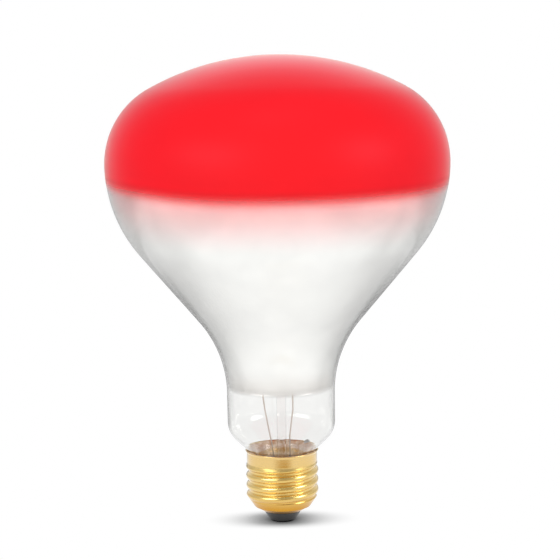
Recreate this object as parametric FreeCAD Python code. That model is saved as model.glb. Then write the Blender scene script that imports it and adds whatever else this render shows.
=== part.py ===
import FreeCAD, Part
import math
import os

# Infrared heat lamp: a blown reflector bulb with a red crown, on a rolled brass screw cap.
# Millimetres. The lamp stands on its centre contact, with its axis on +Z and its leads left and right.

# Centre contact and insulator
solder_height = 0.3
solder_diameter = 5.2
solder_face_diameter = 3.2
contact_thickness = 0.4
contact_diameter = 7.4
contact_round = 0.15
eyelet_diameter = 3.4
eyelet_bore = 2.0
eyelet_depth = 1.2
insulator_height = 3.6         # black glass that shows below the shell
insulator_tip_diameter = 10.2
insulator_fill = 3.2           # how far the black glass fills the shell's floor
insulator_round = 0.6

# Screw shell
shell_wall = 0.3
shell_length = 22.7
shell_opening_diameter = 14.6
floor_diameter = 20.6
floor_rise = 1.7
floor_round = 1.2
taper_rise = 3.5
thread_diameter = 26.3
thread_pitch = 3.629
thread_depth = 1.1
crest_chords = 2               # straights on each side of the rounded crest
groove_chords = 2
thread_start_angle = 143.0     # where the rolled ridge begins, round the axis from +X
thread_root_lift = 0.06        # leaves a narrow flat at the bottom of the groove
thread_root_gap = 0.3          # between one turn of the ridge and the next
thread_fade = 1.4              # height over which the ridge sinks into the collar or the taper
collar_diameter = 25.5
collar_length = 5.0
collar_rise = 0.5
rim_diameter = 26.6
rim_flare = 0.8

# Bulb
bulb_diameter = 125.0
glass_wall = 1.0
crown_radius = 97.5
knuckle_radius = 31.0
bowl_radius = 50.6
cone_angle = 39.9              # of the flank to the axis
flank_fillet = 43.2
neck_diameter = 39.8
neck_straight = 10.4
shoulder_radius = 9.0
shoulder_angle = 45.0
throat_fillet = 4.0
throat_diameter = 22.2
rim_clearance = 0.25           # between the glass and the inside of the rim
lacquer_thickness = 0.08
lacquer_below_equator = 13.8
film_thickness = 0.08
film_below_equator = 4.0
film_above_neck = 1.9

# Stem
stem_below_rim = 13.0          # from the rim down to the seal of neck and flare
stem_wall = 1.0
stem_diameter = 10.4
flare_round = 2.6
seal_round = 0.5
stem_tube = 1.0
pinch_rise = 2.6               # where the tube is squeezed flat
pinch_length = 3.0
pinch_thickness = 4.4
pinch_round = 0.9
exhaust_diameter = 3.8
exhaust_wall = 0.8
exhaust_tip_diameter = 1.6
exhaust_tip_length = 1.6
exhaust_below_flare = 1.2
vent_diameter = 1.6
arbor_diameter = 3.4
button_diameter = 6.4

# Filament and its supports
filament_below_equator = 36.3
filament_radius = 14.0
filament_start_angle = -28.0
filament_sweep = 236.0
filament_spans = 5
coil_diameter = 1.2
coil_bend = 1.5
leg_diameter = 0.5
button_below_filament = 6.5
support_diameter = 0.35
support_embed = 1.6
hook_clearance = 0.06
hook_wrap = 270.0

# Wires
wire_spacing = 6.1             # of the two wires in the pinch
wire_embed = 1.0               # of each lead in the glass of the pinch
seal_wire_diameter = 0.4
lead_diameter = 0.5
lead_bend = 6.0
left_lead_bends = [(0, 1.8), (3.05, 18.8)]        # out from the seal wire, up from the pinch
right_lead_bends = [(0, 8.8), (1.3, 18.8), (1.2, 27.0)]
clamp_diameter = 1.5
clamp_length = 2.4
outer_lead_diameter = 0.4
outer_lead_bend = 0.9
contact_lead_drop = 1.4        # below the exhaust tip before it turns to the axis
contact_lead_turn = 0.4        # above the black glass, where it reaches the axis
shell_lead_angle = 42.0        # round the axis from +X
shell_lead_below_flare = 0.8
shell_lead_end_below_rim = 1.0
rim_solder_diameter = 2.4
rim_solder_below_rim = 0.4
cement_below_rim = 1.4
cement_length = 3.2

# Heights and radii that follow
contact_bottom = solder_height
contact_top = contact_bottom + contact_thickness
shell_bottom = contact_top + insulator_height
rim_height = shell_bottom + shell_length
floor_top = shell_bottom + floor_rise
taper_top = floor_top + taper_rise
collar_bottom = rim_height - collar_length
thread_radius = thread_diameter / 2
root_radius = thread_radius - thread_depth
core_radius = root_radius + thread_root_lift
ridge_limit_radius = thread_radius + shell_wall
thread_arc = (thread_pitch ** 2 / 4 + thread_depth ** 2) / (4 * thread_depth)
collar_radius = collar_diameter / 2
rim_radius = rim_diameter / 2
insulator_top = shell_bottom + insulator_fill

bulb_radius = bulb_diameter / 2
neck_radius = neck_diameter / 2
throat_radius = throat_diameter / 2
rim_glass_radius = rim_radius - shell_wall - rim_clearance
slope = math.radians(cone_angle)
shoulder_slope = math.radians(shoulder_angle)

flare_top = rim_height - stem_below_rim
flare_bottom = flare_top - stem_wall
pinch_bottom = flare_top + flare_round + stem_tube
pinch_top = pinch_bottom + pinch_rise + pinch_length
exhaust_tip = flare_bottom - exhaust_below_flare
stem_radius = stem_diameter / 2

axis_start = FreeCAD.Vector(0, 0, 0)
axis_up = FreeCAD.Vector(0, 0, 1)


def profile_point(radius, height):
    return FreeCAD.Vector(radius, 0, height)


def polar_point(radius, degrees, height):
    angle = math.radians(degrees)
    return FreeCAD.Vector(radius * math.cos(angle), radius * math.sin(angle), height)


def unit(vector):
    return vector / vector.Length


def edge_start(edge):
    return edge.valueAt(edge.FirstParameter)


def edge_end(edge):
    return edge.valueAt(edge.LastParameter)


def bend(before, corner, after, radius):
    into = unit(corner - before)
    away = unit(after - corner)
    half_turn = into.getAngle(away) / 2
    reach = radius * math.tan(half_turn)
    depth = radius / math.cos(half_turn) - radius
    middle = corner + unit(away - into) * depth
    return corner - into * reach, middle, corner + away * reach


def rounded_edges(points, radii, closed=False):
    count = len(points)
    stops = []
    for index, (point, radius) in enumerate(zip(points, radii)):
        at_end = index in (0, count - 1) and not closed
        if radius > 0 and not at_end:
            stops.append(bend(points[index - 1], point, points[(index + 1) % count], radius))
        else:
            stops.append((point, None, point))
    edges = []
    for index, (start, middle, end) in enumerate(stops):
        if middle:
            edges.append(Part.Arc(start, middle, end).toShape())
        if closed or index < count - 1:
            edges.append(Part.makeLine(end, stops[(index + 1) % count][0]))
    return edges


def spin(edges):
    face = Part.Face(Part.Wire(edges))
    return face.revolve(axis_start, axis_up, 360)


def turned(corners):
    # corners are (radius, height, rounding), in order round the section
    points = [profile_point(radius, height) for radius, height, rounding in corners]
    return spin(rounded_edges(points, [corner[2] for corner in corners], closed=True))


def slab(bottom, top, radius):
    return Part.makeCylinder(radius, top - bottom, profile_point(0, bottom))


def rod(start, end, diameter):
    return Part.makeCylinder(diameter / 2, (end - start).Length, start, end - start)


def wire_along(edges, diameter):
    path = Part.Wire(edges)
    tangent = edges[0].tangentAt(edges[0].FirstParameter)
    section = Part.Wire(Part.makeCircle(diameter / 2, edge_start(edges[0]), tangent))
    return path.makePipeShell([section], True, False)


def bent_wire(points, radius, diameter):
    return wire_along(rounded_edges(points, [radius] * len(points)), diameter)


# Envelope outline, from the crown's apex down to the end of the throat
def arc_edge(center, radius, start_degrees, end_degrees):
    def at(degrees):
        angle = math.radians(degrees)
        return center + FreeCAD.Vector(radius * math.cos(angle), 0, radius * math.sin(angle))
    return Part.Arc(at(start_degrees), at((start_degrees + end_degrees) / 2), at(end_degrees)).toShape()


shared_rounding = flank_fillet + bowl_radius
cone_length = (bulb_radius - neck_radius - shared_rounding * (1 - math.cos(slope))) / math.sin(slope)
flank_height = shared_rounding * math.sin(slope) + cone_length * math.cos(slope)
shoulder_run = (neck_radius - shoulder_radius - rim_glass_radius) / math.tan(shoulder_slope)
shoulder_top = rim_height + shoulder_run + shoulder_radius / math.sin(shoulder_slope)
throat_run = (throat_radius + throat_fillet - rim_glass_radius) / math.tan(shoulder_slope)
throat_top = rim_height + throat_run - throat_fillet / math.sin(shoulder_slope)
neck_top = shoulder_top + neck_straight
equator = neck_top + flank_height
crown_drop = math.sqrt((crown_radius - knuckle_radius) ** 2 - (bulb_radius - knuckle_radius) ** 2)
overall_length = equator - crown_drop + crown_radius
filament_height = equator - filament_below_equator
button_middle = filament_height - button_below_filament


def envelope_edges(inset):
    # convex stretches lose the inset from their radius, hollow ones gain it
    crown_center = profile_point(0, equator - crown_drop)
    knuckle_center = profile_point(bulb_radius - knuckle_radius, equator)
    bowl_center = profile_point(bulb_radius - bowl_radius, equator)
    fillet_center = profile_point(neck_radius + flank_fillet, neck_top)
    shoulder_center = profile_point(neck_radius - shoulder_radius, shoulder_top)
    throat_center = profile_point(throat_radius + throat_fillet, throat_top)
    crown_end = math.degrees(math.atan2(crown_drop, bulb_radius - knuckle_radius))
    arcs = [
        arc_edge(crown_center, crown_radius - inset, 90, crown_end),
        arc_edge(knuckle_center, knuckle_radius - inset, crown_end, 0),
        arc_edge(bowl_center, bowl_radius - inset, 0, -cone_angle),
        arc_edge(fillet_center, flank_fillet + inset, 180 - cone_angle, 180),
        arc_edge(shoulder_center, shoulder_radius - inset, 0, -shoulder_angle),
        arc_edge(throat_center, throat_fillet + inset, 180 - shoulder_angle, 180),
    ]
    edges = arcs[:3]
    for arc in arcs[3:]:
        edges.append(Part.makeLine(edge_end(edges[-1]), edge_start(arc)))
        edges.append(arc)
    foot = edge_end(edges[-1])
    edges.append(Part.makeLine(foot, profile_point(foot.x, flare_top)))
    return edges


def envelope_layer(outer_inset, inner_inset):
    outer = envelope_edges(outer_inset)
    inner = envelope_edges(inner_inset)
    top = Part.makeLine(edge_start(inner[0]), edge_start(outer[0]))
    foot = Part.makeLine(edge_end(inner[-1]), edge_end(outer[-1]))
    return spin(Part.__sortEdges__(outer + inner + [top, foot]))


def make_red_lacquer():
    coat = envelope_layer(-lacquer_thickness, 0)
    return coat.common(slab(equator - lacquer_below_equator, overall_length + glass_wall, bulb_diameter))


def make_mirror_film():
    coat = envelope_layer(glass_wall, glass_wall + film_thickness)
    return coat.common(slab(neck_top + film_above_neck, equator - film_below_equator, bulb_diameter))


# Screw shell: a turned core and a rolled ridge, once for the outer and once for the inner face
def inset_corners(corners, inset):
    # moves each straight of an outline that climbs, by the inset, towards the axis
    points = [profile_point(radius, height) for radius, height, rounding in corners]
    sides = []
    for start, end in zip(points, points[1:]):
        along = unit(end - start)
        inward = FreeCAD.Vector(-along.z, 0, along.x) * inset
        sides.append((start + inward, along))
    moved = [sides[0][0]]
    roundings = [0]
    for (first, along), (second, onward), corner in zip(sides, sides[1:], corners[1:]):
        cross = along.x * onward.z - along.z * onward.x
        gap = second - first
        step = (gap.x * onward.z - gap.z * onward.x) / cross
        moved.append(first + along * step)
        turns_in = cross > 0
        roundings.append(max(corner[2] - inset, 0) if turns_in else corner[2] + inset)
    last, along = sides[-1]
    moved.append(last + along * (points[-1] - points[-2]).Length)
    roundings.append(0)
    return moved, roundings


def filled_outline(corners, inset):
    points, roundings = inset_corners(corners, inset)
    edges = rounded_edges(points, roundings)
    first, last = points[0], points[-1]
    edges.append(Part.makeLine(last, profile_point(0, last.z)))
    edges.append(Part.makeLine(profile_point(0, last.z), profile_point(0, first.z)))
    edges.append(Part.makeLine(profile_point(0, first.z), first))
    return spin(edges)


shell_corners = [
    (shell_opening_diameter / 2, shell_bottom, 0),
    (floor_diameter / 2, floor_top, floor_round),
    (core_radius, taper_top, 0),
    (core_radius, collar_bottom - collar_rise, 0),
    (collar_radius, collar_bottom, 0),
    (collar_radius, rim_height - rim_flare, 0),
    (rim_radius, rim_height, 0),
]
ridge_limit_corners = [
    (floor_diameter / 2, floor_top, 0),
    (ridge_limit_radius, taper_top + thread_fade / 2, 0),
    (ridge_limit_radius, collar_bottom - thread_fade, 0),
    (collar_radius, collar_bottom + collar_rise, 0),
]


def ridge_section(inset):
    # the rounded crest and grooves as chords, each side mirrored about the crest
    crest_center = thread_radius - thread_arc
    groove_center = root_radius + thread_arc
    crest_arc = thread_arc - inset
    groove_arc = thread_arc + inset
    lean = math.asin(thread_pitch / (4 * thread_arc))
    foot = math.asin(thread_root_gap / 2 / groove_arc)
    upper = []
    for step in range(crest_chords + 1):
        angle = lean * step / crest_chords
        upper.append((crest_center + crest_arc * math.cos(angle), crest_arc * math.sin(angle)))
    for step in range(1, groove_chords + 1):
        angle = lean + (foot - lean) * step / groove_chords
        height = thread_pitch / 2 - groove_arc * math.sin(angle)
        upper.append((groove_center - groove_arc * math.cos(angle), height))
    base_radius = floor_diameter / 2 - 2 * shell_wall - inset
    upper.append((base_radius, upper[-1][1]))
    lower = [(radius, -height) for radius, height in upper[:0:-1]]
    points = [profile_point(radius, height) for radius, height in lower + upper]
    return Part.makePolygon(points + points[:1])


def make_ridge(inset):
    bottom = floor_top
    height = collar_bottom + thread_pitch / 2 - bottom
    cone_half_angle = 0.0
    helix = Part.Wire(Part.makeLongHelix(thread_pitch, height, thread_radius, cone_half_angle).Edges)
    sweep = Part.BRepOffsetAPI.MakePipeShell(helix)
    sweep.setBiNormalMode(axis_up)
    sweep.add(ridge_section(inset))
    sweep.build()
    sweep.makeSolid()
    ridge = sweep.shape()
    ridge.rotate(axis_start, axis_up, thread_start_angle)
    ridge.translate(profile_point(0, bottom))
    return ridge.common(filled_outline(ridge_limit_corners, inset))


def shell_face(inset):
    return filled_outline(shell_corners, inset).fuse(make_ridge(inset))


def make_cavity():
    opening = slab(shell_bottom, floor_top, shell_opening_diameter / 2)
    return shell_face(shell_wall).fuse(opening)


# Contact end of the cap
def make_contact_solder():
    face = solder_face_diameter / 2
    edge = solder_diameter / 2
    bore = eyelet_bore / 2
    plug_top = contact_top + eyelet_depth
    return turned([
        (0, 0, 0),
        (face, 0, 0),
        (edge, contact_bottom, 0),
        (bore, contact_bottom, 0),
        (bore, plug_top, 0),
        (0, plug_top, 0),
    ])


def make_centre_contact():
    bore = eyelet_bore / 2
    eyelet = eyelet_diameter / 2
    plate = contact_diameter / 2
    eyelet_top = contact_top + eyelet_depth
    return turned([
        (bore, contact_bottom, 0),
        (plate, contact_bottom, contact_round),
        (plate, contact_top, 0),
        (eyelet, contact_top, 0),
        (eyelet, eyelet_top, 0),
        (bore, eyelet_top, 0),
    ])


def make_insulator(cavity):
    opening = shell_opening_diameter / 2
    nose = turned([
        (0, contact_top, 0),
        (insulator_tip_diameter / 2, contact_top, insulator_round),
        (opening, shell_bottom, 0),
        (0, shell_bottom, 0),
    ])
    return cavity.common(slab(shell_bottom, insulator_top, rim_radius)).fuse(nose)


# Glass stem that closes the neck
def make_stem(wires):
    bore = stem_radius - stem_wall
    flare = turned([
        (stem_radius, pinch_bottom, 0),
        (stem_radius, flare_top, flare_round),
        (throat_radius, flare_top, 0),
        (throat_radius, flare_bottom, seal_round),
        (bore, flare_bottom, flare_round + stem_wall),
        (bore, pinch_bottom, 0),
    ])
    half = pinch_thickness / 2
    squeezed = pinch_bottom + pinch_rise
    side_view = [
        (-stem_radius, pinch_bottom, 0),
        (stem_radius, pinch_bottom, 0),
        (half, squeezed, pinch_round),
        (half, pinch_top, pinch_round),
        (-half, pinch_top, pinch_round),
        (-half, squeezed, pinch_round),
    ]
    corners = [FreeCAD.Vector(-stem_radius, across, height) for across, height, rounding in side_view]
    edges = rounded_edges(corners, [corner[2] for corner in side_view], closed=True)
    wedge = Part.Face(Part.Wire(edges)).extrude(FreeCAD.Vector(stem_diameter, 0, 0))
    pinch = slab(pinch_bottom, pinch_top, stem_radius).common(wedge)
    vent_height = pinch_bottom + vent_diameter
    vent_up = slab(pinch_bottom, vent_height, exhaust_diameter / 2 - exhaust_wall)
    vent_mouth = FreeCAD.Vector(0, stem_radius, vent_height)
    vent_out = rod(profile_point(0, vent_height), vent_mouth, vent_diameter)
    return flare.fuse(pinch).cut(vent_up).cut(vent_out).cut(wires)


def make_exhaust_tube():
    outer = exhaust_diameter / 2
    inner = outer - exhaust_wall
    cone_top = exhaust_tip + exhaust_tip_length
    return turned([
        (0, exhaust_tip, 0),
        (exhaust_tip_diameter / 2, exhaust_tip, 0),
        (outer, cone_top, 0),
        (outer, pinch_bottom, 0),
        (inner, pinch_bottom, 0),
        (inner, cone_top + exhaust_wall, 0),
        (0, cone_top, 0),
    ])


def make_arbor(supports):
    stalk = slab(pinch_top, button_middle, arbor_diameter / 2)
    button = Part.makeSphere(button_diameter / 2, profile_point(0, button_middle))
    return stalk.fuse(button).cut(supports)


# Filament: a coil hung in straight spans between the supports, with a plain leg at each end
span_angle = filament_sweep / filament_spans
coil_corners = [
    polar_point(filament_radius, filament_start_angle + span_angle * index, filament_height)
    for index in range(filament_spans + 1)
]
half_span = math.radians(span_angle / 2)
hook_ring = filament_radius - coil_bend * (1 / math.cos(half_span) - 1)


def leg_end(end, inner):
    return end + unit(end - inner) * clamp_length


def make_filament():
    coil = bent_wire(coil_corners, coil_bend, coil_diameter)
    first_leg = rod(coil_corners[0], leg_end(coil_corners[0], coil_corners[1]), leg_diameter)
    last_leg = rod(coil_corners[-1], leg_end(coil_corners[-1], coil_corners[-2]), leg_diameter)
    return coil.fuse([first_leg, last_leg])


def make_support(index):
    angle = filament_start_angle + span_angle * index
    hook_radius = coil_diameter / 2 + support_diameter / 2 + hook_clearance
    start_radius = button_diameter / 2 - support_embed
    inward = start_radius - hook_ring
    drop = button_middle - filament_height
    turn = math.acos(hook_radius / math.hypot(inward, drop))
    touch = math.atan2(drop, inward) + turn
    wrap = math.radians(hook_wrap)

    def on_hook(around):
        out = hook_ring + hook_radius * math.cos(around)
        return polar_point(out, angle, filament_height + hook_radius * math.sin(around))

    start = polar_point(start_radius, angle, button_middle)
    hook = Part.Arc(on_hook(touch), on_hook(touch + wrap / 2), on_hook(touch + wrap)).toShape()
    return wire_along([Part.makeLine(start, on_hook(touch)), hook], support_diameter)


# Wires
seal_bottom = pinch_bottom + wire_embed
seal_top = pinch_top - wire_embed


def make_seal_wire(side):
    out = side * wire_spacing / 2
    return rod(profile_point(out, seal_bottom), profile_point(out, seal_top), seal_wire_diameter)


def make_lead(side, bends, end, inner):
    clamp_end = leg_end(end, inner)
    seal_out = wire_spacing / 2
    points = [profile_point(side * seal_out, seal_top)]
    points += [profile_point(side * (seal_out + out), pinch_top + rise) for out, rise in bends]
    points.append((end + clamp_end) / 2)
    wire = bent_wire(points, lead_bend, lead_diameter)
    clamp = rod(end, clamp_end, clamp_diameter)
    return wire.fuse(clamp).cut(rod(end, clamp_end, leg_diameter))


def make_contact_lead():
    out = -wire_spacing / 2
    return bent_wire([
        profile_point(out, seal_bottom),
        profile_point(out, exhaust_tip - contact_lead_drop),
        profile_point(0, insulator_top + contact_lead_turn),
        profile_point(0, contact_top),
    ], outer_lead_bend, outer_lead_diameter)


def make_shell_lead():
    under = flare_bottom - shell_lead_below_flare
    beside = (throat_radius + core_radius - shell_wall) / 2
    end_height = rim_height - shell_lead_end_below_rim
    climb = end_height - throat_top
    glass = throat_radius + throat_fillet - math.sqrt(throat_fillet ** 2 - climb ** 2)
    end_radius = (glass + collar_radius - shell_wall) / 2
    return bent_wire([
        profile_point(wire_spacing / 2, seal_bottom),
        profile_point(wire_spacing / 2, under),
        polar_point(beside, shell_lead_angle, under),
        polar_point(beside, shell_lead_angle, throat_top),
        polar_point(end_radius, shell_lead_angle, end_height),
    ], outer_lead_bend, outer_lead_diameter)


# Cement and solder that join the cap to the bulb
def make_cement(cavity, bulb_form):
    top = rim_height - cement_below_rim
    ring = cavity.common(slab(top - cement_length, top, rim_diameter))
    return ring.cut(bulb_form)


def make_rim_solder():
    height = rim_height - rim_solder_below_rim
    middle = polar_point(rim_radius - shell_wall / 2, shell_lead_angle, height)
    return Part.makeSphere(rim_solder_diameter / 2, middle)


def filled_bulb():
    edges = envelope_edges(0)
    apex = edge_start(edges[0])
    foot = edge_end(edges[-1])
    edges.append(Part.makeLine(foot, profile_point(0, foot.z)))
    edges.append(Part.makeLine(profile_point(0, foot.z), apex))
    return spin(edges)


def main():
    parts = {}
    cavity = make_cavity()
    bulb_form = filled_bulb()
    parts["glass_bulb"] = envelope_layer(0, glass_wall)
    parts["red_lacquer"] = make_red_lacquer()
    parts["mirror_film"] = make_mirror_film()
    parts["filament"] = make_filament()
    for index in range(1, filament_spans):
        parts["support_wire_%d" % index] = make_support(index)
    supports = [parts["support_wire_%d" % index] for index in range(1, filament_spans)]
    parts["arbor_rod"] = make_arbor(supports)
    parts["lead_wire_right"] = make_lead(1, right_lead_bends, coil_corners[0], coil_corners[1])
    parts["lead_wire_left"] = make_lead(-1, left_lead_bends, coil_corners[-1], coil_corners[-2])
    parts["seal_wire_right"] = make_seal_wire(1)
    parts["seal_wire_left"] = make_seal_wire(-1)
    parts["shell_lead"] = make_shell_lead()
    parts["contact_lead"] = make_contact_lead()
    stem_wires = ("lead", "seal", "shell_lead", "contact_lead")
    parts["stem_flare"] = make_stem([parts[name] for name in parts if name.startswith(stem_wires)])
    parts["exhaust_tube"] = make_exhaust_tube()
    parts["cap_shell"] = shell_face(0).cut(cavity)
    parts["cap_cement"] = make_cement(cavity, bulb_form).cut(parts["shell_lead"])
    parts["contact_solder"] = make_contact_solder().cut(parts["contact_lead"])
    parts["centre_contact"] = make_centre_contact()
    contact_end = [parts["centre_contact"], parts["contact_solder"], parts["contact_lead"]]
    parts["cap_insulator"] = make_insulator(cavity).cut(contact_end)
    rim_end = [parts["cap_shell"], bulb_form, parts["shell_lead"], parts["cap_cement"]]
    parts["rim_solder"] = make_rim_solder().cut(rim_end)

    os.makedirs("parts", exist_ok=True)
    for name, shape in parts.items():
        solids = sorted(shape.Solids, key=lambda solid: solid.Volume)
        print(name, len(solids), shape.isValid(), round(shape.Volume, 3))
        solids[-1].exportStep("parts/%s.step" % name)
    print("length", round(overall_length, 2), "diameter", bulb_diameter)


main()
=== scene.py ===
import math

import bmesh
import bpy
from mathutils import Matrix, Vector, noise


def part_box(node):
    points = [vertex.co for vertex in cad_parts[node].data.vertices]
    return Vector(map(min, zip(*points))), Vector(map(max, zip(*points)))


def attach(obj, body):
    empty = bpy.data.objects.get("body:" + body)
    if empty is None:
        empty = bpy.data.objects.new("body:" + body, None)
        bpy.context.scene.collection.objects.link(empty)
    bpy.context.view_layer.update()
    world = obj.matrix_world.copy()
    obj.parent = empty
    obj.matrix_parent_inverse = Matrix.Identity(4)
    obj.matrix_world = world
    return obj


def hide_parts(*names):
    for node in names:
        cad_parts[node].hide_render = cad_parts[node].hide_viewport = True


# Infrared heat lamp: red sprayed crown, silvered bowl, clear neck and a rolled brass screw cap.

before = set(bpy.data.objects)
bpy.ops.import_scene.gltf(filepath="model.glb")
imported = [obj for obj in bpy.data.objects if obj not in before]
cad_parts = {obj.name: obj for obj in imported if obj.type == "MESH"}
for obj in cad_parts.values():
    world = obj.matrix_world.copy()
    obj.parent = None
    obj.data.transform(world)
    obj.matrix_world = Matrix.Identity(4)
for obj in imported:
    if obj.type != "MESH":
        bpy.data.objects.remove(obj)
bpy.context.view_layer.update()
mm = 0.001
weld = 0.0005              # points of a mesh that are nearer than this become one
print("frame loaded with", len(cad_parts), "nodes")


# Colour and node helpers

def linear(hexText):
    channels = [int(hexText[i:i + 2], 16) / 255 for i in (1, 3, 5)]
    return tuple(c / 12.92 if c <= 0.04045 else ((c + 0.055) / 1.055) ** 2.4
                 for c in channels) + (1.0,)


def addNode(tree, kind, inputs=None, **settings):
    # inputs take a plain value or another node's output
    node = tree.nodes.new(kind)
    for key, value in settings.items():
        setattr(node, key, value)
    for key, value in (inputs or {}).items():
        if isinstance(value, bpy.types.NodeSocket):
            tree.links.new(value, node.inputs[key])
        else:
            node.inputs[key].default_value = value
    return node


def newMaterial(name, **values):
    material = bpy.data.materials.new(name)
    material.use_nodes = True
    tree = material.node_tree
    shader = tree.nodes["Principled BSDF"]
    for key, value in values.items():
        shader.inputs[key.replace("_", " ")].default_value = value
    coords = addNode(tree, "ShaderNodeTexCoord").outputs["Object"]
    return material, tree, shader, coords


def patternFinish(tree, shader, pattern, dark, light, rough=None, bump=None):
    # one pattern carries the colour, the roughness and the relief; bump is its strength and depth
    colour = addNode(tree, "ShaderNodeMix", {
        "Factor": pattern, "A": linear(dark), "B": linear(light)}, data_type="RGBA")
    tree.links.new(colour.outputs["Result"], shader.inputs["Base Color"])
    if rough:
        level = addNode(tree, "ShaderNodeMapRange", {
            "Value": pattern, "To Min": rough[0], "To Max": rough[1]})
        tree.links.new(level.outputs["Result"], shader.inputs["Roughness"])
    if bump:
        relief = addNode(tree, "ShaderNodeBump", {
            "Height": pattern, "Strength": bump[0], "Distance": bump[1] * mm})
        tree.links.new(relief.outputs["Normal"], shader.inputs["Normal"])
    return colour.outputs["Result"]


# Mesh helpers, all sizes in millimetres until the mesh is finished

def lineTo(bm, vert, radius, height, pieces=1):
    start = vert.co.copy()
    end = Vector((radius, 0, height))
    for step in range(1, pieces + 1):
        vert = bmesh.ops.extrude_vert_indiv(bm, verts=[vert])["verts"][0]
        vert.co = start.lerp(end, step / pieces)
    return vert


def arcTo(bm, vert, radius, height, degrees, steps):
    # turns about a centre in the section; positive degrees run from +X towards +Z
    done = bmesh.ops.spin(
        bm, geom=[vert], cent=(radius, 0, height), axis=(0, -1, 0), dvec=(0, 0, 0),
        angle=math.radians(degrees), steps=steps, use_merge=False, use_duplicate=False)
    return next(item for item in done["geom_last"] if isinstance(item, bmesh.types.BMVert))


def spinSection(bm, steps):
    bmesh.ops.spin(
        bm, geom=bm.verts[:] + bm.edges[:], cent=(0, 0, 0), axis=(0, 0, 1), dvec=(0, 0, 0),
        angle=2 * math.pi, steps=steps, use_merge=True, use_duplicate=False)
    bmesh.ops.remove_doubles(bm, verts=bm.verts[:], dist=weld)
    bmesh.ops.recalc_face_normals(bm, faces=bm.faces[:])


def finishPiece(bm, name, material, nodes, sharpAngle=40, wall=None):
    bmesh.ops.scale(bm, vec=(mm, mm, mm), verts=bm.verts[:])
    mesh = bpy.data.meshes.new(name)
    bm.to_mesh(mesh)
    bm.free()
    imported = mesh.attributes.get("custom_normal")
    if imported:
        mesh.attributes.remove(imported)       # they belong to the loose triangles of the CAD mesh
    mesh.shade_smooth()
    mesh.set_sharp_from_angle(angle=math.radians(sharpAngle))
    mesh.materials.append(material)
    piece = bpy.data.objects.new(name, mesh)
    bpy.context.scene.collection.objects.link(piece)
    if wall:
        solidify = piece.modifiers.new("wall", "SOLIDIFY")
        solidify.thickness = wall * mm
        solidify.offset = -1
        solidify.use_even_offset = True
    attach(piece, "root")
    if nodes:
        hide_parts(*nodes)
    return piece


def mergedCopy(node):
    # the CAD mesh is loose triangles, so a welded copy can be shaded smoothly
    bm = bmesh.new()
    bm.from_mesh(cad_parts[node].data)
    bmesh.ops.scale(bm, vec=(1 / mm, 1 / mm, 1 / mm), verts=bm.verts[:])
    bmesh.ops.remove_doubles(bm, verts=bm.verts[:], dist=weld)
    return bm


# Glass envelope outline, shared by the bulb, the mirror and the red coat

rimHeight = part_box("cap_shell")[1].z / mm
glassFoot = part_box("glass_bulb")[0].z / mm

envelope = {
    "radius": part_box("glass_bulb")[1].x / mm,
    "wall": 0.4,
    "crown": 97.5,
    "knuckle": 31.0,
    "bowl": 50.6,
    "coneAngle": 39.9,
    "fillet": 43.2,
    "neck": 19.9,
    "neckStraight": 10.4,
    "shoulder": 9.0,
    "shoulderAngle": 45.0,
    "throat": 11.1,
    "throatFillet": 4.0,
    "radiusAtRim": 12.75,
    "steps": 192,
}
envelopeRows = {           # of the mesh, along each stretch of the outline
    "crown": 26, "knuckle": 24, "bowl": 20, "cone": 6, "fillet": 18, "neck": 4,
    "shoulder": 14, "slope": 2, "throatFillet": 8, "throat": 4,
}
slope = math.radians(envelope["coneAngle"])
shoulderSlope = math.radians(envelope["shoulderAngle"])
bowlAndFillet = envelope["bowl"] + envelope["fillet"]
coneRun = (envelope["radius"] - envelope["neck"]
           - bowlAndFillet * (1 - math.cos(slope))) / math.sin(slope)
shoulderTop = (rimHeight + (envelope["neck"] - envelope["shoulder"] - envelope["radiusAtRim"])
               / math.tan(shoulderSlope) + envelope["shoulder"] / math.sin(shoulderSlope))
throatTop = (rimHeight + (envelope["throat"] + envelope["throatFillet"] - envelope["radiusAtRim"])
             / math.tan(shoulderSlope) - envelope["throatFillet"] / math.sin(shoulderSlope))
neckTop = shoulderTop + envelope["neckStraight"]
equator = neckTop + bowlAndFillet * math.sin(slope) + coneRun * math.cos(slope)
crownDrop = math.sqrt((envelope["crown"] - envelope["knuckle"]) ** 2
                      - (envelope["radius"] - envelope["knuckle"]) ** 2)


def drawEnvelope(bm, inset):
    # from the apex down to the foot of the throat; hollow arcs gain the inset, round ones lose it
    e, rows = envelope, envelopeRows
    crownEnd = math.degrees(math.atan2(crownDrop, e["radius"] - e["knuckle"]))
    vert = bm.verts.new((0, 0, equator - crownDrop + e["crown"] - inset))
    vert = arcTo(bm, vert, 0, equator - crownDrop, crownEnd - 90, rows["crown"])
    vert = arcTo(bm, vert, e["radius"] - e["knuckle"], equator, -crownEnd, rows["knuckle"])
    vert = arcTo(bm, vert, e["radius"] - e["bowl"], equator, -e["coneAngle"], rows["bowl"])
    fillet = e["fillet"] + inset
    vert = lineTo(bm, vert, e["neck"] + e["fillet"] - fillet * math.cos(slope),
                  neckTop + fillet * math.sin(slope), rows["cone"])
    vert = arcTo(bm, vert, e["neck"] + e["fillet"], neckTop, e["coneAngle"], rows["fillet"])
    vert = lineTo(bm, vert, e["neck"] - inset, shoulderTop, rows["neck"])
    vert = arcTo(bm, vert, e["neck"] - e["shoulder"], shoulderTop, -e["shoulderAngle"],
                 rows["shoulder"])
    fillet = e["throatFillet"] + inset
    vert = lineTo(bm, vert, e["throat"] + e["throatFillet"] - fillet * math.cos(shoulderSlope),
                  throatTop + fillet * math.sin(shoulderSlope), rows["slope"])
    vert = arcTo(bm, vert, e["throat"] + e["throatFillet"], throatTop, e["shoulderAngle"],
                 rows["throatFillet"])
    return lineTo(bm, vert, e["throat"] - inset, glassFoot, rows["throat"])


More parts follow.
